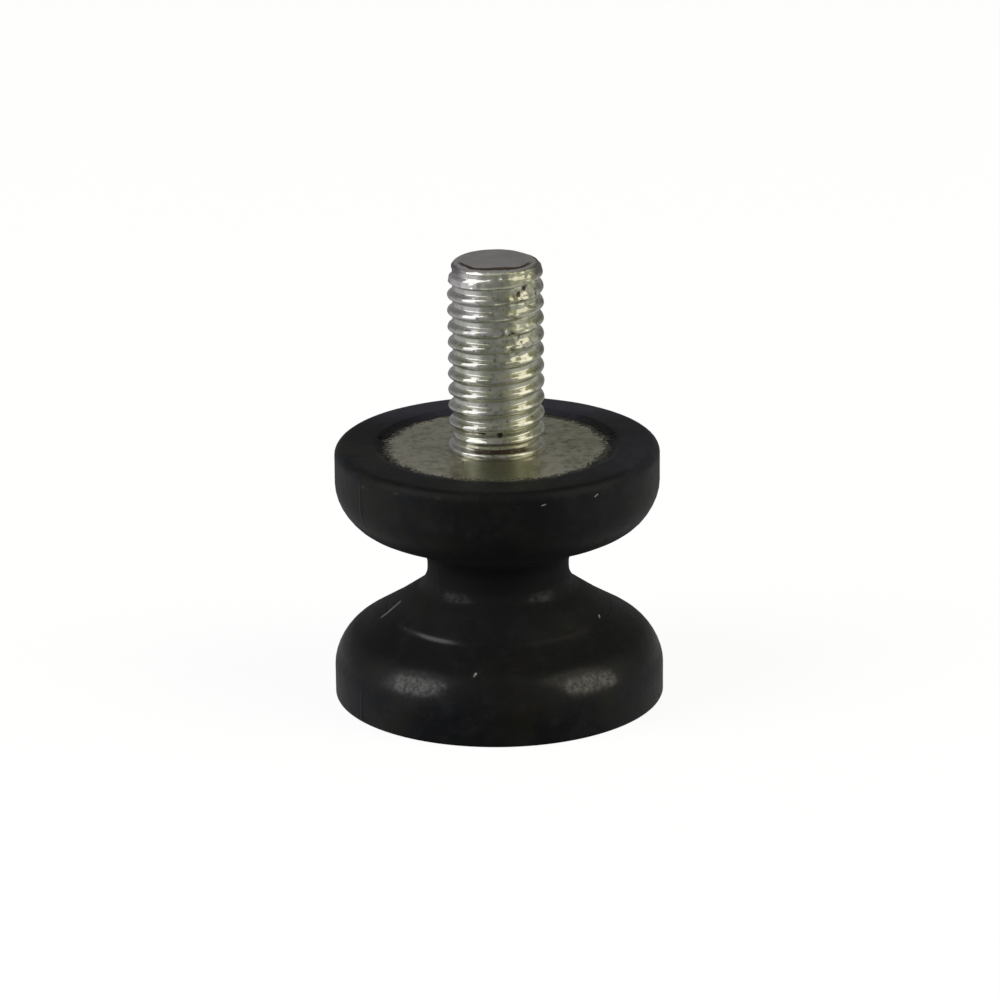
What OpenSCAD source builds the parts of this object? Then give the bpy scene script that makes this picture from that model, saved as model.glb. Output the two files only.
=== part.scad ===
// Waisted anti-vibration mount: a rubber body moulded round two bonded steel
// plates, with a threaded stud at the top and a tapped bush in the base.
// Units are millimetres. +Z runs up the axis; the origin is the middle of the base.

/* [Rubber body] */
// Height of the rubber from the base to the top rim
body_h = 16; // [15:0.5:30]
// Diameter of the lower flange
base_d = 20.3; // [18:0.1:30]
// Diameter of the upper flange
head_d = 19.9; // [18:0.1:30]
// Diameter of the neck at its narrowest
neck_d = 8.7; // [7:0.1:12]
// How far the neck is hollowed from a straight cylinder
neck_hollow = 0.06; // [0.02:0.01:0.3]
// Radius where the neck runs out into each cone
neck_fillet_r = 1.5; // [0.6:0.1:2]

/* [Flanges] */
// Height of the lower flange's straight rim
base_rim_h = 1.85; // [1:0.05:3]
// Height of the upper flange's straight rim
head_rim_h = 2.3; // [1:0.05:3]
// Radius of the lower flange's shoulder
base_shoulder_r = 2.85; // [1.5:0.05:4]
// Radius of the upper flange's shoulder
head_shoulder_r = 2.9; // [1.5:0.05:4]
// Slope of the lower cone, from horizontal
base_slope = 31.5; // [15:0.5:38]
// Slope of the upper cone, from horizontal
head_slope = 22; // [15:0.5:34]
// Radius on the edge of the base
base_edge_r = 0.15; // [0.05:0.05:0.6]
// Radius on the edge of the top rim
head_edge_r = 0.6; // [0.1:0.05:0.8]
// Diameter of the witness ring that the mould inserts leave on each cone
ring_d = 14; // [11:0.1:15]
// How far the cone inside the ring stands proud
ring_rise = 0.12; // [0.05:0.01:0.3]

/* [Plates] */
// Thickness of each bonded plate
plate_t = 1.5; // [0.8:0.1:2.5]
// Rubber outside the rim of each plate
rim_cover = 1.2; // [0.6:0.1:2]
// How far the rubber laps over the face of each plate
lip_w = 1.55; // [0.5:0.05:2.5]
// Thickness of that lip, which leaves each plate recessed
lip_t = 0.2; // [0.1:0.05:0.8]
// Radius on the rim of each plate
plate_edge_r = 0.3; // [0.1:0.05:0.35]

/* [Stud] */
// Diameter over the thread
stud_d = 5.9; // [4:0.1:8]
// Distance from one thread crest to the next
thread_pitch = 1; // [0.5:0.05:1.5]
// Depth of the thread
thread_depth = 0.49; // [0.1:0.01:0.6]
// Width of the flat along each crest, at the thread's full pitch
crest_w = 0.3; // [0.1:0.05:0.4]
// Length of the stud above the plate
stud_l = 11.9; // [6:0.1:30]
// Height of the collar that stands on the plate
collar_h = 0.4; // [0.2:0.1:1]
// How far the collar stands out from the thread
collar_step = 0.05; // [0.02:0.01:0.5]
// Length of the relief between the collar and the thread
relief_l = 0.4; // [0.2:0.1:1]
// Depth of the relief below the thread
relief_depth = 0.45; // [0.2:0.05:0.8]
// Chamfer at the tip
tip_chamfer = 0.45; // [0.2:0.05:1]
// Depth of the staked shank below the thread, where it passes through the plate
shank_step = 0.25; // [0.2:0.01:0.6]
// Width of the upset head round the shank, under the plate
stud_head_w = 2; // [1:0.1:3]
// Thickness of the upset head
stud_head_t = 1.6; // [0.8:0.1:2.5]

/* [Bush] */
// Diameter of the tapping hole
tap_d = 5; // [3:0.1:6]
// Depth of the full tapping hole
tap_depth = 4.5; // [3:0.1:5.5]
// Chamfer at the mouth of the hole
mouth_chamfer = 0.5; // [0.2:0.05:1]
// Wall of the bush round the hole
bush_wall = 1.1; // [0.8:0.05:1.5]
// Thickness of the bush's closed end
bush_end_t = 0.6; // [0.5:0.1:1.5]
// Width of the bush's flange, which bears on the inside of the plate
bush_flange_w = 1.4; // [0.8:0.1:2]
// Thickness of that flange
bush_flange_t = 0.8; // [0.5:0.1:1.5]

/* [Hidden] */
$fn = 96;
arc_steps = 8;
drill_point = 59;
overrun = 1;
thread_flank = 30;

base_r = base_d / 2;
head_r = head_d / 2;
neck_r = neck_d / 2;
ring_r = ring_d / 2;
plate_r = min(base_r, head_r) - rim_cover;
face_r = plate_r - lip_w;
stud_r = stud_d / 2;
shank_r = stud_r - shank_step;
stud_head_r = shank_r + stud_head_w;
tap_r = tap_d / 2;
bush_r = tap_r + bush_wall;
bush_flange_r = bush_r + bush_flange_w;
bush_l = tap_depth + tap_r / tan(drill_point) + bush_end_t;

// Heights of the plates' faces, measured from the base
bottom_face_z = lip_t;
bottom_back_z = lip_t + plate_t;
top_face_z = body_h - lip_t;
top_back_z = top_face_z - plate_t;

// Points on an arc about [r, z], from angle a to angle b
function arc(r, z, radius, a, b, steps = arc_steps) =
    [for (i = [0 : steps]) let (t = a + (b - a) * i / steps)
        [r + radius * cos(t), z + radius * sin(t)]];

// The same points seen from the top face downwards
function from_top(points) = [for (p = points) [p[0], body_h - p[1]]];

// Where a flange's shoulder ends and its cone begins
function cone_start(r, rim_h, shoulder_r, slope) =
    [r - shoulder_r * (1 - sin(slope)), rim_h + shoulder_r * cos(slope)];

// Height of the cone at radius r, lifted along its normal by rise
function cone_z(start, slope, r, rise = 0) =
    start[1] + (start[0] - r) * tan(slope) + rise / cos(slope);

// A shallow hollow up to [neck_r, mid_z], over the given height
function hollow(height, mid_z) =
    let (radius = (height * height + neck_hollow * neck_hollow) / (2 * neck_hollow))
    arc(neck_r + radius, mid_z, radius, 180 + asin(height / radius), 180, 4);

// One half of the body's outline, from the flange's edge to the middle of the neck
function half_outline(r, rim_h, shoulder_r, slope, edge_r, mid_z) =
    let (start = cone_start(r, rim_h, shoulder_r, slope),
         waist_r = neck_r + neck_hollow,
         corner_z = cone_z(start, slope, waist_r, ring_rise),
         room = mid_z - corner_z,
         fillet_r = min(neck_fillet_r, 0.9 * room / tan(45 - slope / 2)),
         fillet_z = corner_z + fillet_r * tan(45 - slope / 2))
    concat(
        arc(r - edge_r, edge_r, edge_r, -90, 0, 4),
        arc(r - shoulder_r, rim_h, shoulder_r, 0, 90 - slope),
        [[ring_r, cone_z(start, slope, ring_r)],
         [ring_r - ring_rise * sin(slope), cone_z(start, slope, ring_r - ring_rise * sin(slope), ring_rise)]],
        arc(waist_r + fillet_r, fillet_z, fillet_r, 270 - slope, 180),
        hollow(mid_z - fillet_z, mid_z));

// The thread's outline from z0 up to z1, as rings one pitch apart, each ending in a crest
function thread_rings(z0, z1) =
    let (depth = min(thread_depth, (thread_pitch - crest_w) / 2 / tan(thread_flank)),
         flank_w = depth * tan(thread_flank),
         root_r = stud_r - depth,
         turns = floor((z1 - z0) / thread_pitch))
    [for (i = [1 : turns]) let (crest_z = z0 + i * thread_pitch - crest_w)
        each [[stud_r, crest_z - thread_pitch + crest_w],
              [root_r, crest_z - thread_pitch + crest_w + flank_w],
              [root_r, crest_z - flank_w],
              [stud_r, crest_z]]];

function reversed(points) = [for (i = [len(points) - 1 : -1 : 0]) points[i]];

// Height of the middle of the neck, halfway between the two cones
function waist_z() =
    let (base = cone_start(base_r, base_rim_h, base_shoulder_r, base_slope),
         head = cone_start(head_r, head_rim_h, head_shoulder_r, head_slope))
    (cone_z(base, base_slope, neck_r) + body_h - cone_z(head, head_slope, neck_r)) / 2;

// A solid of revolution between two heights, on the axis
module disc(r, z0, z1) {
    translate([0, 0, z0]) cylinder(r = r, h = z1 - z0);
}

// A plate, from its underside at z, with a rounded rim
module plate_blank(z) {
    translate([0, 0, z]) rotate_extrude()
        polygon(concat(
            [[0, 0]],
            arc(plate_r - plate_edge_r, plate_edge_r, plate_edge_r, -90, 0, 4),
            arc(plate_r - plate_edge_r, plate_t - plate_edge_r, plate_edge_r, 0, 90, 4),
            [[0, plate_t]]));
}

// The stud's head, inside the rubber
module stud_head() {
    disc(stud_head_r, top_back_z - stud_head_t, top_back_z);
}

// The bush's outside above the plate: its flange and its closed, chamfered end
module bush_outside() {
    disc(bush_flange_r, bottom_back_z, bottom_back_z + bush_flange_t);
    disc(bush_r, bottom_back_z, bottom_face_z + bush_l - bush_wall / 2);
    translate([0, 0, bottom_face_z + bush_l - bush_wall / 2])
        cylinder(r1 = bush_r, r2 = bush_r - bush_wall / 2, h = bush_wall / 2);
}

// The waisted body, with a pocket that fits each metal piece face to face
module rubber_body() {
    mid_z = waist_z();
    color([0.09, 0.09, 0.1]) difference() {
        rotate_extrude() polygon(concat(
            [[0, 0]],
            half_outline(base_r, base_rim_h, base_shoulder_r, base_slope, base_edge_r, mid_z),
            reversed(from_top(half_outline(head_r, head_rim_h, head_shoulder_r, head_slope,
                                           head_edge_r, body_h - mid_z))),
            [[0, body_h]]));
        disc(face_r, -overrun, bottom_face_z + plate_t / 2);
        plate_blank(bottom_face_z);
        bush_outside();
        plate_blank(top_back_z);
        disc(face_r, top_back_z + plate_t / 2, body_h + overrun);
        stud_head();
    }
}

// Upper plate, pierced for the stud's staked shank
module top_plate() {
    color([0.56, 0.55, 0.5]) difference() {
        plate_blank(top_back_z);
        disc(shank_r, top_back_z - overrun, top_face_z + overrun);
    }
}

// Stud, staked through the plate: its collar bears on the face and its head was
// upset against the back
module stud() {
    thread_z = top_face_z + collar_h + relief_l;
    tip_z = top_face_z + stud_l;
    color([0.66, 0.65, 0.58]) {
        rotate_extrude() polygon(concat(
            [[0, top_back_z - stud_head_t],
             [stud_head_r, top_back_z - stud_head_t],
             [stud_head_r, top_back_z],
             [shank_r, top_back_z],
             [shank_r, top_face_z],
             [stud_r + collar_step, top_face_z],
             [stud_r + collar_step, top_face_z + collar_h],
             [stud_r - relief_depth, top_face_z + collar_h],
             [stud_r - relief_depth, thread_z - relief_l / 2],
             [stud_r, thread_z]],
            thread_rings(thread_z + crest_w, tip_z - tip_chamfer),
            [[stud_r, tip_z - tip_chamfer],
             [stud_r - tip_chamfer, tip_z],
             [0, tip_z]]));
    }
}

// Lower plate, pierced for the bush
module bottom_plate() {
    color([0.56, 0.55, 0.5]) difference() {
        plate_blank(bottom_face_z);
        disc(bush_r, bottom_face_z - overrun, bottom_back_z + overrun);
    }
}

// Tapped bush, with a blind hole that opens at the base
module tapped_bush() {
    tap_end_z = bottom_face_z + tap_depth;
    color([0.6, 0.58, 0.5]) difference() {
        union() {
            disc(bush_r, bottom_face_z, bottom_back_z);
            bush_outside();
        }
        disc(tap_r, bottom_face_z - overrun, tap_end_z);
        translate([0, 0, tap_end_z]) cylinder(r1 = tap_r, r2 = 0, h = tap_r / tan(drill_point));
        translate([0, 0, bottom_face_z])
            cylinder(r1 = tap_r + mouth_chamfer, r2 = tap_r, h = mouth_chamfer);
    }
}

rubber_body();
top_plate();
stud();
bottom_plate();
tapped_bush();
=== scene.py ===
# An anti-vibration mount: a waisted rubber body on two bonded steel plates, with a
# threaded stud on top and a tapped bush underneath.
from math import atan2, cos, hypot, pi, radians, sin, tan

import bmesh
import bpy
from mathutils import Matrix, Vector, noise


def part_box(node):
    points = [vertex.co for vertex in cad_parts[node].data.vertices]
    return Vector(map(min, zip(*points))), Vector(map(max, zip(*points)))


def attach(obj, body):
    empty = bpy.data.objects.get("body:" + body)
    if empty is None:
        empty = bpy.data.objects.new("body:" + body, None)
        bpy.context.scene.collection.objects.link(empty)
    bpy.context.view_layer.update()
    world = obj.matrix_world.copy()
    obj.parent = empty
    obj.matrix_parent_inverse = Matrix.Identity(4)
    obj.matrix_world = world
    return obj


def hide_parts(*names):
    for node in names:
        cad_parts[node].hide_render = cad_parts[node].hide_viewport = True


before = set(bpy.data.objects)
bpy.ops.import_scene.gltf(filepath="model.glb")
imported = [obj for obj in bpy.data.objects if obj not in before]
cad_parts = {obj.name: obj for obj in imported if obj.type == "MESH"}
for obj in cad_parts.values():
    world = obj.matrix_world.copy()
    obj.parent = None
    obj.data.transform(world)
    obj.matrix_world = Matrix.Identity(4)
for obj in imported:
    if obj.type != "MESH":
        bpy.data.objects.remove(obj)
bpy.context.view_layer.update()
mm = 0.001

# The camera stands well back with a long lens, a little above the upper flange, so the
# face of the upper plate shows as a narrow ellipse.
camera_distance = 306.5 * mm
camera_elevation = radians(18.65)
camera_roll = radians(-0.6)
aim = Vector((0.15 * mm, 0, 12.32 * mm))


def facing_aim(towards, distance):
    """The placement of a thing that stands off in a direction and looks back at the aim."""
    return (Matrix.Translation(aim + towards * distance)
            @ towards.to_track_quat("Z", "Y").to_matrix().to_4x4())


camera_data = bpy.data.cameras.new("camera")
camera_data.lens = 180
camera_data.sensor_width = 36
camera_data.clip_start = 0.01
camera = bpy.data.objects.new("camera", camera_data)
bpy.context.scene.collection.objects.link(camera)
back = Vector((0, -cos(camera_elevation), sin(camera_elevation)))
camera.matrix_world = facing_aim(back, camera_distance) @ Matrix.Rotation(camera_roll, 4, "Z")
bpy.context.scene.camera = camera


# The rubber body is one moulding, cast in a two-part mould round the metal pieces, so it
# has a parting seam down both sides and a witness ring on each cone. A lip laps over the
# rim of each plate and ends in a thin ragged flash.
base_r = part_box("rubber_body")[1].x
body_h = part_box("rubber_body")[1].z
head_r = 9.95 * mm
neck_r = 4.35 * mm
neck_rounding = 1.5 * mm
neck_hollow = 0.06 * mm
neck_hollow_rounding = 4 * mm
base_rim_h = 1.85 * mm
head_rim_h = 2.3 * mm
base_shoulder_r = 2.85 * mm
head_shoulder_r = 2.9 * mm
base_slope = radians(31.5)
head_slope = radians(22)
base_edge_r = 0.15 * mm
head_edge_r = 0.6 * mm
ring_r = 7 * mm
ring_rise = 0.15 * mm
ring_edge_r = 0.14 * mm
lip_w = 1.55 * mm
lip_ramp_w = 0.36 * mm
lip_edge_r = 0.3 * mm
flash_w = 0.2 * mm
flash_t = 0.025 * mm
flash_root_w = 0.02 * mm
flash_root_r = 0.2 * mm
longest_edge = 0.3 * mm

plate_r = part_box("top_plate")[1].x
plate_edge_r = 0.3 * mm
face_r = plate_r - lip_w
top_back_z, top_face_z = (corner.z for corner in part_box("top_plate"))
bottom_face_z, bottom_back_z = (corner.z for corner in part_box("bottom_plate"))
stud_head_r, stud_head_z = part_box("stud")[1].x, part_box("stud")[0].z
bush_flange_r, bush_top_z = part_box("tapped_bush")[1].x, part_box("tapped_bush")[1].z
bush_r = 3.6 * mm
bush_end_rounding = 0.5 * mm
bush_flange_t = 0.8 * mm
bush_flange_top_z = bottom_back_z + bush_flange_t


def section(corners):
    """A wire through (radius, height, rounding) corners, each rounded by its radius."""
    bm = bmesh.new()
    verts = [bm.verts.new((r, 0, z)) for r, z, rounding in corners]
    for a, b in zip(verts, verts[1:]):
        bm.edges.new((a, b))
    setbacks = []
    for before, at, after, corner in zip(verts, verts[1:], verts[2:], corners[1:]):
        turn = (at.co - before.co).angle(after.co - at.co)
        setbacks.append((at, corner[2] * tan(turn / 2)))
    for at, setback in setbacks:
        if setback:
            bmesh.ops.bevel(bm, geom=[at], offset=setback, offset_type="OFFSET",
                            segments=8, profile=0.5, affect="VERTICES", material=-1)
    return bm


def spin_round(bm, first_angle, arcs):
    """Turns a section half round the axis, in arcs of (angle, steps), and repeats the half."""
    bmesh.ops.rotate(bm, verts=bm.verts, matrix=Matrix.Rotation(first_angle, 3, "Z"))
    edge = bm.verts[:] + bm.edges[:]
    for angle, steps in arcs:
        made = bmesh.ops.spin(bm, geom=edge, axis=(0, 0, 1), angle=angle, steps=steps)
        edge = made["geom_last"]
    half = bmesh.ops.duplicate(bm, geom=bm.verts[:] + bm.edges[:] + bm.faces[:])["geom"]
    half_verts = [v for v in half if isinstance(v, bmesh.types.BMVert)]
    bmesh.ops.rotate(bm, verts=half_verts, matrix=Matrix.Rotation(pi, 3, "Z"))
    bmesh.ops.remove_doubles(bm, verts=bm.verts, dist=0.001 * mm)
    bmesh.ops.recalc_face_normals(bm, faces=bm.faces)


def piece(name, bm, smooth_below):
    """Makes an object of a bmesh, shaded smooth across edges below an angle."""
    mesh = bpy.data.meshes.new(name)
    bm.to_mesh(mesh)
    bm.free()
    mesh.shade_smooth()
    mesh.set_sharp_from_angle(angle=smooth_below)
    made = bpy.data.objects.new(name, mesh)
    bpy.context.scene.collection.objects.link(made)
    return made


def flange_corners(r, rim_h, shoulder_r, slope, edge_r):
    """One flange's corners as (radius, distance from its face, rounding), up to the neck."""
    corner_z = rim_h + shoulder_r * tan(pi / 4 - slope / 2)
    inner_r = ring_r - ring_rise * sin(slope)
    waist_r = neck_r + neck_hollow
    rise = ring_rise / cos(slope)
    return [
        (r, 0, edge_r),
        (r, corner_z, shoulder_r),
        (ring_r, corner_z + (r - ring_r) * tan(slope), 0),
        (inner_r, corner_z + (r - inner_r) * tan(slope) + rise, ring_edge_r),
        (waist_r, corner_z + (r - waist_r) * tan(slope) + rise, neck_rounding),
    ]


def lip_corners(face_z, outer_z):
    """The lip's corners, from the plate's rim to the top of the lip."""
    film_t = flash_t if outer_z > face_z else -flash_t
    return [
        (plate_r, face_z, 0),
        (face_r - flash_w, face_z, 0),
        (face_r - flash_w, face_z + film_t, 0),
        (face_r + flash_root_w, face_z + 2 * film_t, flash_root_r),
        (face_r + lip_ramp_w, outer_z, lip_edge_r),
    ]


base_flange = flange_corners(base_r, base_rim_h, base_shoulder_r, base_slope, base_edge_r)
head_flange = [(r, body_h - z, rounding) for r, z, rounding in
               flange_corners(head_r, head_rim_h, head_shoulder_r, head_slope, head_edge_r)]
neck_z = (base_flange[-1][1] + head_flange[-1][1]) / 2
bush_pocket = [
    (0, bush_top_z, 0),
    (bush_r, bush_top_z, bush_end_rounding),
    (bush_r, bush_flange_top_z, 0),
    (bush_flange_r, bush_flange_top_z, 0),
    (bush_flange_r, bottom_back_z, 0),
    (plate_r, bottom_back_z, plate_edge_r),
]
stud_head_pocket = [
    (plate_r, top_back_z, plate_edge_r),
    (stud_head_r, top_back_z, 0),
    (stud_head_r, stud_head_z, 0),
    (0, stud_head_z, 0),
]
rubber_bm = section(
    bush_pocket
    + lip_corners(bottom_face_z, 0)
    + base_flange
    + [(neck_r, neck_z, neck_hollow_rounding)]
    + head_flange[::-1]
    + lip_corners(top_face_z, body_h)[::-1]
    + stud_head_pocket
)
for edge in rubber_bm.edges[:]:
    cuts = int(edge.calc_length() / longest_edge)
    hidden = max(v.co.x for v in edge.verts) < plate_r + 0.01 * mm
    if cuts and not hidden:
        bmesh.ops.subdivide_edges(rubber_bm, edges=[edge], cuts=cuts)

# The half turn begins with a fine arc across the seam.
seam_angle = radians(-146)
seam_half_w = 0.14 * mm
seam_h = 0.035 * mm
fine_arc, fine_steps = radians(3), 14
coarse_arc, coarse_steps = pi - fine_arc, 226
spin_round(rubber_bm, seam_angle - fine_arc / 2,
           [(fine_arc, fine_steps), (coarse_arc, coarse_steps)])

skin_h = 0.012 * mm
sink_w = 2.2 * mm
flash_reach = 0.3 * mm
flash_reach_z = 0.21 * mm


def fade(value, low, high):
    """0 at low and below, 1 at high and above, smooth between."""
    t = min(1, max(0, (value - low) / (high - low)))
    return t * t * (3 - 2 * t)


def front_azimuth(co):
    """A point's angle from the front, positive to the right."""
    return atan2(co.x, -co.y)


def sector(azimuth, middle, half_w, edge):
    """1 around the middle azimuth, fading to 0 at half_w from it over the edge's width."""
    return fade(half_w - abs(azimuth - middle), 0, edge)


def skin_height(v, r, angle):
    """How far the skin stands off its outline, by uneven shrinkage and at the seam."""
    swell = noise.noise(v.co / (3.5 * mm)) + 0.5 * noise.noise(v.co / (1.4 * mm))
    off_seam = r * abs((angle - seam_angle + pi / 2) % pi - pi / 2)
    ridge = max(0, 1 - (off_seam / seam_half_w) ** 2)
    upright = fade(v.normal.xy.length, 0.8, 0.97)
    patchy = upright * (0.6 + noise.noise(v.co / (2.5 * mm)))
    return skin_h * (swell - 0.3) + seam_h * ridge * patchy


def ring_sinking(v, r):
    """How far the cone inside a witness ring is let down where the ring shows less."""
    azimuth = front_azimuth(v.co)
    lower = v.co.z < neck_z
    slope = base_slope if lower else head_slope
    crisp = sector(azimuth, -0.66, 0.47, 0.16)
    soft = sector(azimuth, 0.55, 0.45, 0.16)
    shown = max(crisp, 0.4 * soft) if lower else 0.2
    inside = (ring_r - r) / (ring_rise * sin(slope))
    sunk = (1 - shown) * min(1, max(0, inside)) * (1 - fade(ring_r - r, 0.08 * mm, sink_w))
    return (-1 if lower else 1) * sunk * ring_rise / cos(slope)


def flash_spread(v, angle, depth):
    """How far the ragged flash moves a point outwards, most at the film itself."""
    around = Vector((cos(angle), sin(angle), v.co.z * 20))
    ragged = (noise.noise(around * 7) + 0.7 * noise.noise(around * 22)
              + 0.4 * noise.noise(around * 60))
    at_film = max(0, 1 - depth / (0.1 * mm))
    return ragged * (0.06 + 0.3 * at_film) * mm


rubber_bm.normal_update()
for v in rubber_bm.verts:
    r = hypot(v.co.x, v.co.y)
    angle = atan2(v.co.y, v.co.x)
    on_rim = r > plate_r + 0.1 * mm
    on_waist = r > neck_r - 0.1 * mm and bush_flange_top_z < v.co.z < stud_head_z
    if (on_rim or on_waist) and v.co.z > 0.05 * mm:
        skin = v.normal * skin_height(v, r, angle)
        v.co.z += ring_sinking(v, r)
        v.co += skin
    depth = min(abs(v.co.z - top_face_z), abs(v.co.z - bottom_face_z))
    if face_r - flash_reach < r < face_r + flash_reach and depth < flash_reach_z:
        v.co.xy *= 1 + flash_spread(v, angle, depth) / r

rubber = piece("rubber", rubber_bm, radians(50))
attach(rubber, "root")
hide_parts("rubber_body")


class Value:
    """A shader socket that can stand in Python sums."""

    def __init__(self, tree, socket=None):
        self.tree = tree
        self.socket = socket

    def node(self, kind, settings=None, inputs=None, output=0):
        """Adds a node from its type, its settings and its sockets' values or links."""
        made = self.tree.nodes.new(kind)
        for name, value in (settings or {}).items():
            setattr(made, name, value)
        for name, value in (inputs or {}).items():
            if isinstance(value, Value):
                self.tree.links.new(value.socket, made.inputs[name])
            else:
                made.inputs[name].default_value = value
        return Value(self.tree, made.outputs[output] if made.outputs else None)

    def output(self, name):
        """Another output of the node this value comes from."""
        return Value(self.tree, self.socket.node.outputs[name])

    def maths(self, operation, *values, clamp=False):
        """A Math node on these values."""
        settings = {"operation": operation, "use_clamp": clamp}
        return self.node("ShaderNodeMath", settings, dict(enumerate(values)))

    def __add__(self, other):
        return self.maths("ADD", self, other)

    def __sub__(self, other):
        return self.maths("SUBTRACT", self, other)

    def __mul__(self, other):
        return self.maths("MULTIPLY", self, other)

    def __truediv__(self, other):
        return self.maths("DIVIDE", self, other)

    def __radd__(self, other):
        return self.maths("ADD", other, self)

    def __rsub__(self, other):
        return self.maths("SUBTRACT", other, self)

    __rmul__ = __mul__

    def step(self, low, high):
        """0 below low, 1 above high, smooth between; the other way if low is above high."""
        span = {"interpolation_type": "SMOOTHSTEP"}
        first, last = (0, 1) if low < high else (1, 0)
        ends = {"Value": self, "From Min": min(low, high), "From Max": max(low, high),
                "To Min": first, "To Max": last}
        return self.node("ShaderNodeMapRange", span, ends)

    def band(self, start, full, full_end, end):
        """1 from full to full_end, falling smoothly to 0 at start and at end."""
        return self.step(start, full) * self.step(end, full_end)


def new_material(name):
    """A material with an empty tree, and the Value that adds its nodes."""
    material = bpy.data.materials.new(name)
    material.use_nodes = True
    material.node_tree.nodes.clear()
    return material, Value(material.node_tree)


def coordinates(tree):
    """A point's place on the piece, then the x, y and z of it."""
    here = tree.node("ShaderNodeTexCoord", output="Object")
    across = tree.node("ShaderNodeSeparateXYZ", None, {"Vector": here})
    return here, across, across.output("Y"), across.output("Z")


def grain(tree, where, size, detail=2, roughness=0.5):
    """Noise of about this size, centred on 0.5."""
    return tree.node("ShaderNodeTexNoise", None, {
        "Vector": where, "Scale": 1 / size, "Detail": detail, "Roughness": roughness})


def layered(tree, colour, layers):
    """A colour with others laid over it in turn, each by its own factor."""
    for factor, layer in layers:
        colour = tree.node("ShaderNodeMix", {"data_type": "RGBA"},
                           {"Factor": factor, 6: colour, 7: layer}, output=2)
    return colour


def greatest(first, *others):
    """The greatest of some values."""
    for other in others:
        first = first.maths("MAXIMUM", first, other)
    return first


def bump(tree, strength, depth, height):
    """The normal of a surface that is uneven to this depth."""
    return tree.node("ShaderNodeBump", None, {
        "Strength": strength, "Distance": depth, "Height": height})


def surface(tree, inputs):
    """Ends a material with a Principled surface."""
    shader = tree.node("ShaderNodeBsdfPrincipled", None, inputs)
    tree.node("ShaderNodeOutputMaterial", None, {"Surface": shader})


def cylinder_point(azimuth, r, z):
    """A point by its angle from the front, radius and height."""
    return Vector((r * sin(radians(azimuth)), -r * cos(radians(azimuth)), z))


def distance_between(tree, first, second):
    """How far apart two points are."""
    return tree.node("ShaderNodeVectorMath", {"operation": "DISTANCE"},
                     {0: first, 1: second}, output="Value")


def stroke(tree, where, start, end, half_w):
    """1 on a short line between two points, fading to 0 at half_w from it."""
    line = end - start
    offset = tree.node("ShaderNodeVectorMath", {"operation": "SUBTRACT"}, {0: where, 1: start})
    part = tree.node("ShaderNodeVectorMath", {"operation": "DOT_PRODUCT"},
                     {0: offset, 1: line / line.length_squared}, output="Value")
    part = tree.maths("ADD", part, 0, clamp=True)
    nearest = tree.node("ShaderNodeVectorMath", {"operation": "SCALE"}, {0: line, "Scale": part})
    return distance_between(tree, offset, nearest).step(half_w, half_w * 0.4)


# Natural rubber is near black and matt. Handling has polished the lower shoulder, the ring
# and the neck's fillet. The rest has picked up dust and a few pale flecks, a scratch and a
# worn upper edge. The upper rim has a painted bluish sheen at the back and painted shade at
# the front, and the chalky waist is painted darker on its lamp-lit sides as shade.
rubber_black = (0.0072, 0.0079, 0.0097, 1)
rubber_brown = (0.0125, 0.0123, 0.0103, 1)
rubber_dusty = (0.0208, 0.0217, 0.0258, 1)
rubber_chalky = (0.0175, 0.018, 0.02, 1)
rubber_polished_and_shade = (0.005, 0.005, 0.005, 1)
rubber_bluish_sheen = (0.037, 0.036, 0.056, 1)
fleck_grey = (0.33, 0.315, 0.28, 1)
shoulder_z = base_rim_h + base_shoulder_r * 0.56
shoulder_start_z, shoulder_full_z = shoulder_z - 1.1 * mm, shoulder_z - 0.2 * mm
ring_z = base_flange[2][1]
rubber_material, rubber_tree = new_material("moulded_rubber")
here, across, along, height = coordinates(rubber_tree)
dust = grain(rubber_tree, here, 1.4 * mm, 5, 0.7).step(0.45, 0.75)
brown = grain(rubber_tree, here, 2.6 * mm, 2).step(0.45, 0.65)
fine = grain(rubber_tree, here, 0.14 * mm, 3, 0.6)
lumps = grain(rubber_tree, here, 0.5 * mm, 4, 0.65)
scuffs = grain(rubber_tree, here, 0.3 * mm, 4, 0.75)


def mark(start, end, half_w):
    """A stroke on the rubber from one (degrees, mm, mm) point to another, half_w in mm."""
    points = [cylinder_point(azimuth, r * mm, z * mm) for azimuth, r, z in (start, end)]
    return stroke(rubber_tree, here, *points, half_w * mm)


scratch = mark((-81, 7.24, 5.12), (-84, 6.1, 5.93), 0.17)
flecks = [
    mark((-9.8, 8.95, 4.05), (-9.2, 8.8, 4.2), 0.12),
    mark((-9.4, 8.0, 4.85), (-9.1, 7.8, 5.0), 0.07),
    mark((66.5, 6.75, 5.6), (68.5, 6.6, 5.6), 0.08),
    mark((15.4, 9.95, 15.18), (16.6, 9.95, 15.22), 0.06),
    mark((35.8, 9.95, 15.2), (37, 9.95, 15.3), 0.06),
]
worn_edge = [
    mark((-56, 9.9, 15.15), (-36, 9.9, 15.45), 0.16),
    mark((-36, 9.9, 15.45), (-20, 9.9, 15.6), 0.12),
]
broken = lumps.step(0.42, 0.62)
pale_marks = greatest(scratch * 0.5, *(line * broken * 0.12 for line in worn_edge), *flecks)

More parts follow.
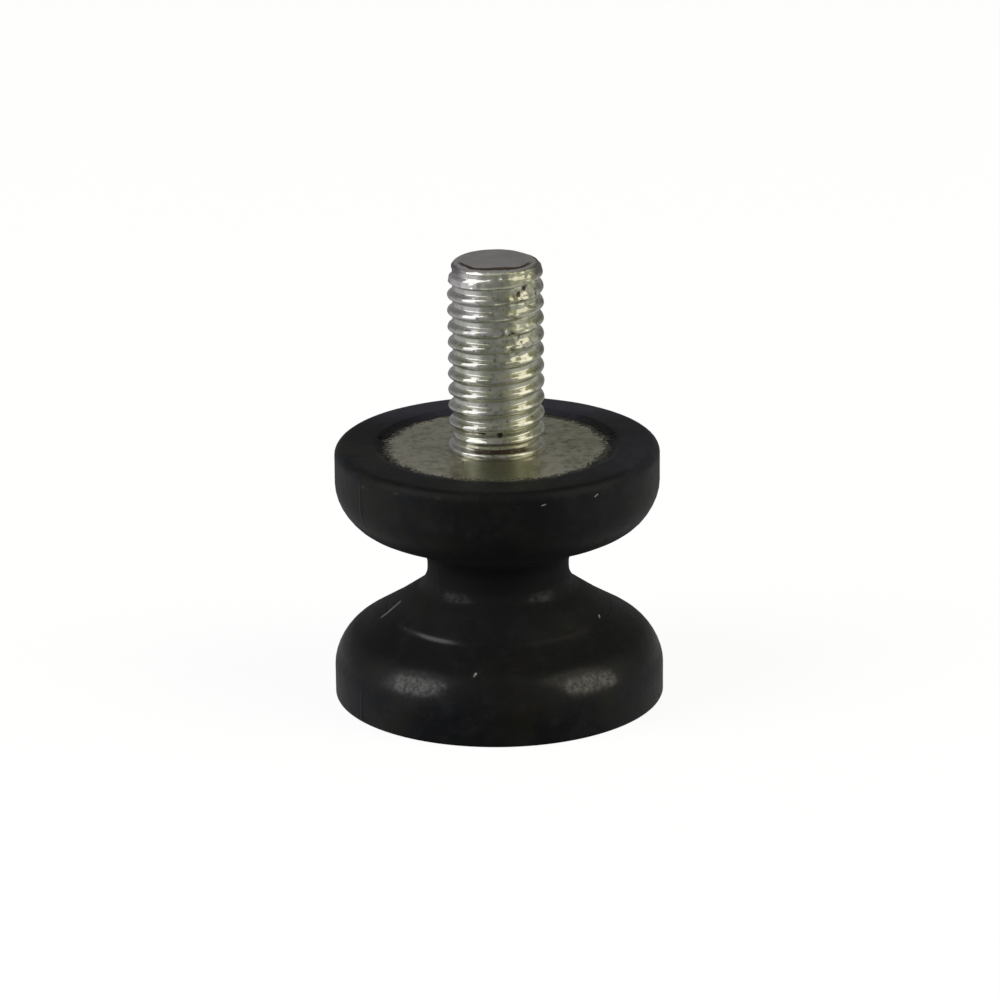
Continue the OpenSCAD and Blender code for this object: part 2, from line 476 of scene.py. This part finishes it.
facing = rubber_tree.maths("ARCTAN2", across, along * -1)
aside = rubber_tree.maths("ABSOLUTE", facing + radians(2.5))
waist = height.band(ring_z - 0.9 * mm, ring_z + 2.2 * mm, body_h - 4.6 * mm, body_h - 3.6 * mm)
# The chalky bloom is painted thinner on the waist's lamp-lit sides, as painted shade.
chalk_and_side_shade = waist * (1 - 0.45 * aside.step(radians(25), radians(60)))
below_ring = height.band(
    shoulder_start_z, shoulder_full_z, ring_z - 0.8 * mm, ring_z + 1.1 * mm)
rim_top = height.step(body_h - 0.5 * mm, body_h - 0.1 * mm)
behind = along.step(3 * mm, 7 * mm)
# A painted bluish sheen on the back of the upper rim, weaker on its sides, broken by dust.
rim_sheen_and_dust = rim_top * greatest(behind, across.step(5 * mm, 9 * mm) * 0.4)
# Painted shade on the front of the upper rim.
front_rim_shade = rim_top * along.step(-4 * mm, -8 * mm)
rubber_colour = layered(rubber_tree, rubber_black, [
    (brown, rubber_brown),
    (dust * 0.8, rubber_dusty),
    (chalk_and_side_shade * (0.55 + 0.45 * lumps), rubber_chalky),
    (below_ring * 0.6, rubber_polished_and_shade),
    (rim_sheen_and_dust * (0.6 + 0.4 * dust), rubber_bluish_sheen),
    (front_rim_shade * 0.6, rubber_polished_and_shade),
    (pale_marks, fleck_grey),
])

shoulder = height.band(
    shoulder_start_z, shoulder_full_z, shoulder_z + 0.1 * mm, shoulder_z + 1.0 * mm)
to_the_sides = aside.step(radians(11), radians(28)) * 0.88 + 0.12
polish = shoulder * to_the_sides * (0.08 + 0.08 * scuffs.step(0.35, 0.65))
streak_r, streak_z = 9.72 * mm, shoulder_z - 0.15 * mm
streak_half_w = 0.7 * mm
for start_azimuth, end_azimuth in ((-38, -22), (27, 44)):
    streak = stroke(rubber_tree, here, cylinder_point(start_azimuth, streak_r, streak_z),
                    cylinder_point(end_azimuth, streak_r, streak_z), streak_half_w)
    polish = polish + streak * (0.06 + 0.22 * scuffs.step(0.38, 0.62))
ring = height.band(ring_z - 0.12 * mm, ring_z, ring_z + 0.06 * mm, ring_z + 0.2 * mm)
ring_worn = facing.band(radians(-62), radians(-50), radians(-30), radians(-18))
neck_fillet = height.band(6.6 * mm, 7.1 * mm, 7.3 * mm, 7.8 * mm)
polish = polish + ring * ring_worn * 0.3 + neck_fillet * (0.03 + 0.1 * scuffs.step(0.4, 0.65))
surface(rubber_tree, {
    "Base Color": rubber_colour,
    "Roughness": 0.42 + 0.16 * lumps + 0.1 * dust + 0.25 * waist,
    "Specular IOR Level": 0.117,
    "Coat Weight": polish,
    "Coat Roughness": 0.2,
    "Coat IOR": 1.7,
    "Normal": bump(rubber_tree, 0.6, 0.03 * mm, fine * 0.5 + lumps),
})
rubber.data.materials.append(rubber_material)


# Each plate is a stamped steel disc with dull zinc plating, bonded into the rubber. What
# shows of it is stained and scuffed, with a painted dark reflection of the stud in front of
# it, and specks of grime and flash crowd its edge, more on one side.
zinc_pale = (0.66, 0.635, 0.535, 1)
zinc_stained = (0.345, 0.35, 0.24, 1)
zinc_reflection_dark = (0.19, 0.195, 0.135, 1)
grime = (0.033, 0.031, 0.025, 1)


def axis_distance(tree, across, along):
    """How far a point lies from the mount's axis."""
    return tree.maths("SQRT", across * across + along * along)


plate_material, plate_tree = new_material("stained_zinc_plate")
here, across, along, height = coordinates(plate_tree)
from_axis = axis_distance(plate_tree, across, along)
mottle = grain(plate_tree, here, 0.9 * mm, 5, 0.7)
specks = grain(plate_tree, here, 0.2 * mm, 4, 0.7)
blotches = grain(plate_tree, here, 0.45 * mm, 3, 0.6)
worse_side = (across + along * 0.6).step(0, 6 * mm)
near_edge = from_axis.step(face_r - 1.5 * mm, face_r + 0.1 * mm)
crowding = specks + near_edge * 0.42 + near_edge * worse_side * 0.08 + (mottle - 0.5) * 0.3
spotted = crowding.step(0.7, 0.8)
stain = mottle.step(0.38, 0.68) * 0.7 + worse_side * 0.25 + (blotches - 0.5) * 1.2
in_front = across.band(-2.3 * mm, -1.8 * mm, 1.8 * mm, 2.3 * mm) * along.step(-2.6 * mm, -3 * mm)
# A painted dark reflection of the stud on the upper plate in front of it.
painted_stud_reflection = in_front * height.step(neck_z, top_back_z)
plate_colour = layered(plate_tree, zinc_pale, [
    (stain, zinc_stained),
    (painted_stud_reflection * 0.8, zinc_reflection_dark),
    (blotches.step(0.6, 0.72) * worse_side * 0.7, grime),
    (spotted, grime),
])
surface(plate_tree, {
    "Base Color": plate_colour,
    "Metallic": 0.9 - spotted * 0.8,
    "Specular Tint": (0.7, 0.7, 0.65, 1),
    "Roughness": 0.09 + 0.14 * mottle + 0.4 * spotted + 0.17 * painted_stud_reflection,
    "Normal": bump(plate_tree, 0.4, 0.015 * mm, mottle + specks * 0.5),
})
for name in ("top_plate", "bottom_plate"):
    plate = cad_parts[name]
    plate.data.materials.clear()
    plate.data.materials.append(plate_material)


# The stud is cold-formed steel with a rolled M6 thread and bright zinc plating. Its collar
# bears on the plate, and its shank is upset into a head underneath. The end was sheared
# off, and the thread is bruised on one side.
tip_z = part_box("stud")[1].z
crest_r = 2.95 * mm
root_r = 2.62 * mm
pitch = 1 * mm
relief_r = 2.6 * mm
collar_r = 2.95 * mm
collar_top_z = top_face_z + 0.4 * mm
thread_z = collar_top_z + 0.4 * mm
shank_r = 2.7 * mm
tip_edge_r = 2.6 * mm
tip_face_r = 2.15 * mm
tip_taper = 0.2
tip_rounding = 0.35 * mm
end_cut_z = tip_z - 0.25 * mm
end_z = tip_z - 0.24 * mm
corner_wear = 0.12 * mm
bruise_start_z = tip_z - 6.4 * mm
bruise_full_z = tip_z - 4.6 * mm
bruised_r = 2.76 * mm
first_turn_z = top_face_z - 1.235 * mm
stud_turns = 14
steps_a_turn = 120


def helix(bottom_z, turns, corners):
    """A right-hand thread's surface, from one pitch of (radius, height, rounding) corners."""
    bm = section([(r, bottom_z + z, rounding) for r, z, rounding in corners])
    bmesh.ops.spin(bm, geom=bm.verts[:] + bm.edges[:], axis=(0, 0, 1), angle=2 * pi,
                   dvec=(0, 0, pitch / steps_a_turn), steps=steps_a_turn)
    turn = bm.verts[:] + bm.edges[:] + bm.faces[:]
    for number in range(1, turns):
        made = bmesh.ops.duplicate(bm, geom=turn)["geom"]
        turn_verts = [v for v in made if isinstance(v, bmesh.types.BMVert)]
        bmesh.ops.translate(bm, verts=turn_verts, vec=(0, 0, pitch * number))
    bmesh.ops.remove_doubles(bm, verts=bm.verts, dist=0.001 * mm)
    return bm


def cut(bm, z, outwards):
    """Cuts a thread off level at a height and returns the new open edge."""
    made = bmesh.ops.bisect_plane(bm, geom=bm.verts[:] + bm.edges[:] + bm.faces[:],
                                  plane_co=(0, 0, z), plane_no=(0, 0, outwards),
                                  clear_outer=True)
    return [e for e in made["geom_cut"] if isinstance(e, bmesh.types.BMEdge)]


def extend(bm, loop, rings):
    """Carries an open round edge on through (radius, height) rings, then closes it."""
    for r, z in rings:
        made = bmesh.ops.extrude_edge_only(bm, edges=loop)["geom"]
        loop = [e for e in made if isinstance(e, bmesh.types.BMEdge)]
        for v in (v for v in made if isinstance(v, bmesh.types.BMVert)):
            v.co.xy *= r / hypot(v.co.x, v.co.y)
            v.co.z = z
    bmesh.ops.edgeloop_fill(bm, edges=loop)


def corner_worn(co):
    """How far the end's right corner is worn at a point, up to 1."""
    return sector(front_azimuth(co), radians(90), 1.3, 0.9)


stud_bm = helix(first_turn_z, stud_turns, [
    (root_r, 0, 0),
    (root_r, 0.1 * mm, 0.09 * mm),
    (crest_r + 0.02 * mm, 0.34 * mm, 0.18 * mm),
    (crest_r - 0.07 * mm, 0.58 * mm, 0.2 * mm),
    (root_r, 0.8 * mm, 0.1 * mm),
    (root_r, pitch, 0),
])
for v in stud_bm.verts:
    r = hypot(v.co.x, v.co.y)
    below_tip = tip_z - v.co.z
    runout = fade(v.co.z, thread_z - 0.1 * mm, thread_z + 0.35 * mm)
    battered = (fade(v.co.z, bruise_start_z, bruise_full_z)
                * sector(front_azimuth(v.co), radians(30), 0.75, 0.3))
    rough = noise.noise(v.co / (0.35 * mm)) + 0.5 * noise.noise(v.co / (0.15 * mm))
    smear = battered * fade(noise.noise(v.co / (0.7 * mm)), -0.3, 0.1)
    waver = 0.02 * mm * noise.noise(v.co / (0.8 * mm)) + 0.006 * mm * rough
    worn_r = relief_r + (r - relief_r) * runout + waver * runout
    worn_r += 0.7 * smear * (bruised_r - worn_r) + battered * rough * 0.05 * mm
    rounded = tip_rounding * max(0, 1 - below_tip / (0.45 * mm)) ** 2
    tip_r = tip_edge_r - rounded + 0.02 * mm * rough + corner_wear * corner_worn(v.co)
    v.co.xy *= min(worn_r, tip_r + tip_taper * below_tip) / r

end_edge = cut(stud_bm, end_cut_z, 1)
extend(stud_bm, end_edge, [
    (2.53 * mm, tip_z - 0.2 * mm),
    (2.47 * mm, tip_z - 0.15 * mm),
    (2.4 * mm, tip_z - 0.1 * mm),
    (2.32 * mm, tip_z - 0.07 * mm),
    (2.23 * mm, tip_z - 0.04 * mm),
    (tip_face_r, tip_z - 0.02 * mm),
    *((r * mm, tip_z - 0.01 * mm) for r in (2, 1.8, 1.5, 1.1, 0.7, 0.3)),
])
for v in stud_bm.verts:
    if v.co.z > end_z:
        r = hypot(v.co.x, v.co.y)
        worn_corner = corner_worn(v.co)
        rough = noise.noise(v.co / (0.9 * mm)) + 0.4 * noise.noise(v.co / (0.3 * mm))
        v.co.z -= corner_wear * worn_corner * fade(r, 1.6 * mm, 2.4 * mm)
        v.co.z += 0.015 * mm * (rough - 0.7)
        v.co.xy *= 1 + (0.012 * rough + 0.06 * worn_corner) * fade(r, 1.4 * mm, 2.5 * mm)

collar_edge = cut(stud_bm, thread_z - 0.2 * mm, -1)
extend(stud_bm, collar_edge, [
    (relief_r, collar_top_z + 0.12 * mm),
    (relief_r + 0.03 * mm, collar_top_z + 0.06 * mm),
    (relief_r + 0.08 * mm, collar_top_z + 0.03 * mm),
    (collar_r - 0.14 * mm, collar_top_z - 0.05 * mm),
    (collar_r - 0.05 * mm, collar_top_z - 0.09 * mm),
    (collar_r, collar_top_z - 0.16 * mm),
    (collar_r, top_face_z + 0.05 * mm),
    (collar_r - 0.04 * mm, top_face_z),
    (shank_r, top_face_z),
    (shank_r, top_back_z),
    (stud_head_r, top_back_z),
    (stud_head_r, stud_head_z),
])
bmesh.ops.recalc_face_normals(stud_bm, faces=stud_bm.faces)
stud = piece("threaded_stud", stud_bm, radians(40))
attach(stud, "root")
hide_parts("stud")

# The plating is tarnished in olive and violet. It is gone from the pits, the sheared end and
# the corner by the collar, and thin on the bruises. Rust shows in the pits and in that corner.
# Painted light brightens the roots and the undersides of the crests against their shade, and
# tints the upper left bluish-violet and the right yellow. Painted shade darkens the left edge
# in violet, the end's side edges and a line under the end's front edge.
zinc_bright = (0.37, 0.375, 0.32, 1)
zinc_olive = (0.2, 0.215, 0.13, 1)
zinc_shadow = (0.09, 0.095, 0.06, 1)
zinc_violet_and_tint = (0.34, 0.32, 0.36, 1)
zinc_yellow_tint = (0.36, 0.36, 0.2, 1)
zinc_root_light = (0.42, 0.44, 0.34, 1)
zinc_painted_light = (0.85, 0.87, 0.7, 1)
rust_and_shade_brown = (0.055, 0.04, 0.03, 1)
sheared_steel = (0.27, 0.265, 0.28, 1)
end_side_shade_colour = (0.12, 0.105, 0.12, 1)
tip_stain = (0.19, 0.18, 0.19, 1)
stud_material, stud_tree = new_material("bright_zinc")
here, across, along, height = coordinates(stud_tree)
from_axis = axis_distance(stud_tree, across, along)
tarnish = grain(stud_tree, here, 1.3 * mm, 4, 0.6)
pitting = grain(stud_tree, here, 0.25 * mm, 3, 0.6)
patches = grain(stud_tree, here, 0.6 * mm, 3, 0.7)
frost = grain(stud_tree, here, 0.12 * mm, 2, 0.5)
dents = grain(stud_tree, here, 0.7 * mm, 2, 0.6)

off_centre = stud_tree.maths("ABSOLUTE", across)
# Painted shade on the end's left and right edges.
end_side_shade = height.step(tip_z - 0.95 * mm, tip_z - 0.6 * mm) * off_centre.step(1.9 * mm, 2.3 * mm)
on_end = (height + (pitting - 0.5) * (0.2 * mm)).step(end_z, tip_z - 0.18 * mm)
uneven_r = from_axis + (tarnish - 0.5) * (0.35 * mm) + (pitting - 0.5) * (0.15 * mm)
end_face = on_end * uneven_r.step(tip_face_r + 0.03 * mm, tip_face_r - 0.03 * mm)
# A painted shade line under the end's front edge, thickest in the middle.
thicker = across.band(-0.8 * mm, 0.1 * mm, 0.6 * mm, 1.2 * mm) * (0.25 * mm)
end_front_shade = on_end * uneven_r.step(tip_face_r + 0.24 * mm, tip_face_r + 0.14 * mm)
end_front_shade = end_front_shade * (uneven_r + thicker).step(tip_face_r - 0.06 * mm, tip_face_r)
end_front_shade = end_front_shade * along.step(-0.2 * mm, -1 * mm)
in_corner = height.step(collar_top_z + 0.24 * mm, collar_top_z + 0.14 * mm)
in_corner = in_corner * from_axis.step(relief_r + 0.28 * mm, relief_r + 0.16 * mm)
in_corner = in_corner * across.band(-1.9 * mm, -1.2 * mm, 1.6 * mm, 2.4 * mm)
in_corner = in_corner * pitting.step(0.28, 0.38)

bruised = across.band(0.3 * mm, 0.9 * mm, 2.4 * mm, 2.75 * mm) * along.step(0, -0.6 * mm)
bruised = bruised * height.step(tip_z - 5.6 * mm, tip_z - 4.4 * mm)
pits = greatest(pitting.step(0.63, 0.7) * tarnish.step(0.45, 0.6),
                bruised * dents.step(0.42, 0.35) * pitting.step(0.4, 0.55))
for azimuth, pit_r, pit_z in (
        (39, 2.75, 26.45), (30, 2.75, 26.1), (31, 2.8, 23.45),
        (-56, 2.9, 17.2), (-19, 2.7, 17.5), (4, 2.7, 17.35)):
    point = cylinder_point(azimuth, pit_r * mm, pit_z * mm)
    uneven_distance = distance_between(stud_tree, here, point) + (pitting - 0.5) * (0.5 * mm)
    pits = greatest(pits, uneven_distance.step(0.24 * mm, 0.14 * mm))

# The roots are painted lighter to offset the shade that falls in them.
in_root = from_axis.step(2.82 * mm, 2.66 * mm)
part_turn = stud_tree.maths("ARCTAN2", along, across) / (2 * pi)
up_pitch = stud_tree.maths("FRACT", (height - first_turn_z) / pitch - part_turn)
# The undersides of the crests, from the middle rightwards, are painted pale against their shade.
crest_underside_light = up_pitch.band(0.03, 0.1, 0.32, 0.38) * across.step(-1.4 * mm, -0.5 * mm)
# Painted violet shade on the stud's left edge.
left_edge_shade = across.step(-2.1 * mm, -2.7 * mm)
# A painted bluish-violet tint on the left highlights near the top.
upper_left_highlight_tint = across.step(-0.6 * mm, -1.4 * mm) * height.step(tip_z - 4.5 * mm, tip_z - 2.5 * mm)
# A painted yellow tint on the right, for the warm light there.
right_light_tint = across.band(0, 1.2 * mm, 2 * mm, 2.6 * mm)
stud_colour = layered(stud_tree, zinc_bright, [
    (tarnish.step(0.42, 0.56), zinc_olive),
    (patches.step(0.5, 0.6) * 0.8, zinc_violet_and_tint),
    (dents.step(0.53, 0.62) * 0.6, zinc_shadow),
    (in_root * 0.5, zinc_root_light),
    (crest_underside_light * 0.8, zinc_painted_light),
    (left_edge_shade * 0.6, zinc_violet_and_tint),
    (upper_left_highlight_tint * 0.6, zinc_violet_and_tint),
    (end_side_shade * 0.75, end_side_shade_colour),
    (right_light_tint * 0.5, zinc_yellow_tint),
    (pitting.step(0.55, 0.7) * 0.6, zinc_shadow),
    (greatest(pits, in_corner), rust_and_shade_brown),
    (on_end, sheared_steel),
    (end_front_shade, rust_and_shade_brown),
    (end_face * tarnish.step(0.35, 0.7) * 0.5, tip_stain),
])
rubbed_thin = patches.step(0.54, 0.62) * 0.3 + across.step(0.4 * mm, 1 * mm) * 0.25
uncoated = greatest(pits, bruised * 0.55, rubbed_thin, end_side_shade * 0.85 + in_corner)
unevenness = pitting * 0.6 + patches + frost * 0.1 + bruised * dents * 2
surface(stud_tree, {
    "Base Color": stud_colour,
    "Metallic": 0.75 - 0.45 * on_end,
    "Roughness": 0.4 + 0.14 * pitting + 0.05 * on_end,
    "Coat Weight": 0.95 - 0.95 * greatest(on_end, uncoated),
    "Coat Roughness": 0.09,
    "Coat IOR": 3,
    "Specular Tint": (0.6, 0.6, 0.55, 1),
    "Normal": bump(stud_tree, 0.8, 0.03 * mm, unevenness),
})
stud.data.materials.append(stud_material)


# The bush is a turned steel nut with a flange that bears on the inside of the lower
# plate. Its blind hole opens at the base and has the same thread as the stud.
tap_r = 2.5 * mm
groove_r = tap_r + 0.47 * mm
mouth_r = 3 * mm
tap_end_z = bottom_face_z + 4.5 * mm
drill_half_angle = radians(59)
drill_point_r = 0.02 * mm
bush_chamfer = 0.55 * mm
bush_turns = 7
bush_bm = helix(bottom_face_z - 1.5 * mm, bush_turns, [
    (tap_r, 0, 0),
    (tap_r, 0.15 * mm, 0.04 * mm),
    (groove_r, 0.45 * mm, 0.03 * mm),
    (groove_r, 0.55 * mm, 0.03 * mm),
    (tap_r, 0.85 * mm, 0.04 * mm),
    (tap_r, pitch, 0),
])
for v in bush_bm.verts:
    r = hypot(v.co.x, v.co.y)
    depth = v.co.z - bottom_face_z
    plain = fade(v.co.z, tap_end_z - 0.9 * mm, tap_end_z - 0.2 * mm)
    cut_r = max(r + (tap_r - r) * plain, mouth_r - depth)
    v.co.xy *= cut_r / r
hole_end = cut(bush_bm, tap_end_z, 1)
extend(bush_bm, hole_end, [(drill_point_r, tap_end_z + tap_r / tan(drill_half_angle))])
mouth = cut(bush_bm, bottom_face_z, -1)
extend(bush_bm, mouth, [
    (bush_r, bottom_face_z),
    (bush_r, bottom_back_z),
    (bush_flange_r, bottom_back_z),
    (bush_flange_r, bush_flange_top_z),
    (bush_r, bush_flange_top_z),
    (bush_r, bush_top_z - bush_chamfer),
    (bush_r - bush_chamfer, bush_top_z),
])
bmesh.ops.recalc_face_normals(bush_bm, faces=bush_bm.faces)
bush = piece("threaded_bush", bush_bm, radians(40))
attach(bush, "root")
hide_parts("tapped_bush")
bush.data.materials.append(stud_material)


# The floor is a wide white sheet that stays white up to the horizon and keeps the
# mount's shadow. Lamps, not the sheet, light the mount. In the metal the sheet is dimmer,
# and brightest to the sides, under the two windows.
sheet_half_w = 20
sheet_drop = 0.02 * mm
sheet_white = 0.92
sheet_grey = (0.12, 0.12, 0.12, 1)


def windows(side):
    """1 towards the window on the left, and 0.6 towards the one on the right."""
    panes = side.step(-0.66, -0.74) + side.step(0.5, 0.62) * 0.6
    return panes * side.output("Y").step(0.1, -0.1)


floor_bm = bmesh.new()
bmesh.ops.create_grid(floor_bm, x_segments=1, y_segments=1, size=sheet_half_w)
bmesh.ops.translate(floor_bm, verts=floor_bm.verts, vec=(0, 0, -sheet_drop))
floor = piece("floor", floor_bm, pi)
floor_material, floor_tree = new_material("white_sheet")
eye = floor_tree.node("ShaderNodeLightPath", output="Is Camera Ray")
glossy = eye.output("Is Glossy Ray")
through = eye.output("Is Transmission Ray")
place = floor_tree.node("ShaderNodeTexCoord", output="Object")
away = floor_tree.node("ShaderNodeVectorMath", {"operation": "LENGTH"}, {0: place}, output="Value")
towards = floor_tree.node("ShaderNodeVectorMath", {"operation": "NORMALIZE"}, {0: place})
side = floor_tree.node("ShaderNodeSeparateXYZ", None, {"Vector": towards})
mirrored = 0.2 + 0.37 * floor_tree.maths("ABSOLUTE", side).step(0.5, 0.75)
mirrored = mirrored + 0.4 * windows(side) * away.step(15 * mm, 60 * mm)
seen = greatest(eye, glossy * mirrored, through)
paper = floor_tree.node("ShaderNodeBsdfDiffuse", None, {"Color": sheet_grey})
glow = floor_tree.node("ShaderNodeEmission", None, {"Strength": seen * sheet_white})
both = floor_tree.node("ShaderNodeAddShader", None, {0: paper, 1: glow})
floor_tree.node("ShaderNodeOutputMaterial", None, {"Surface": both})
floor.data.materials.append(floor_material)


# Two soft lamps stand to the left and right of the mount, the right one warmer. The room
# round them is dim, darkest overhead, with a low window on each side of the camera.
lamp_distance = 600 * mm
lamp_elevation = radians(36)
lamp_w = 420 * mm
lamp_h = 620 * mm
for name, azimuth, power, tint in (
        ("left_lamp", -71, 2.4, (1, 0.99, 0.97)),
        ("right_lamp", 73, 2.25, (1, 0.96, 0.78))):
    lamp_data = bpy.data.lights.new(name, "AREA")
    lamp_data.shape = "RECTANGLE"
    lamp_data.size = lamp_w
    lamp_data.size_y = lamp_h
    lamp_data.energy = power
    lamp_data.color = tint
    lamp = bpy.data.objects.new(name, lamp_data)
    bpy.context.scene.collection.objects.link(lamp)
    towards = cylinder_point(azimuth, cos(lamp_elevation), sin(lamp_elevation))
    lamp.matrix_world = facing_aim(towards, lamp_distance)

world = bpy.data.worlds.new("dim_room")
bpy.context.scene.world = world
world.use_nodes = True
world.node_tree.nodes.clear()
room = Value(world.node_tree)
direction = room.node("ShaderNodeTexCoord", output="Generated")
side = room.node("ShaderNodeSeparateXYZ", None, {"Vector": direction})
upward = side.output("Z")
ahead = side.output("Y").step(-0.45, -0.75)
level = (upward.step(0.14, 0.02) * 0.24 + upward.step(0.75, 0.3) * 0.15 + 0.06) * (1 - ahead)
level = level + 0.19 * ahead + windows(side) * upward.step(0.25, 0.1) * 0.6
eye = room.node("ShaderNodeLightPath", output="Is Camera Ray")
backdrop = room.node("ShaderNodeBackground", None, {
    "Color": (1, 1, 1, 1), "Strength": greatest(level, eye)})
room.node("ShaderNodeOutputWorld", None, {"Surface": backdrop})
bpy.context.scene.view_settings.view_transform = "Standard"
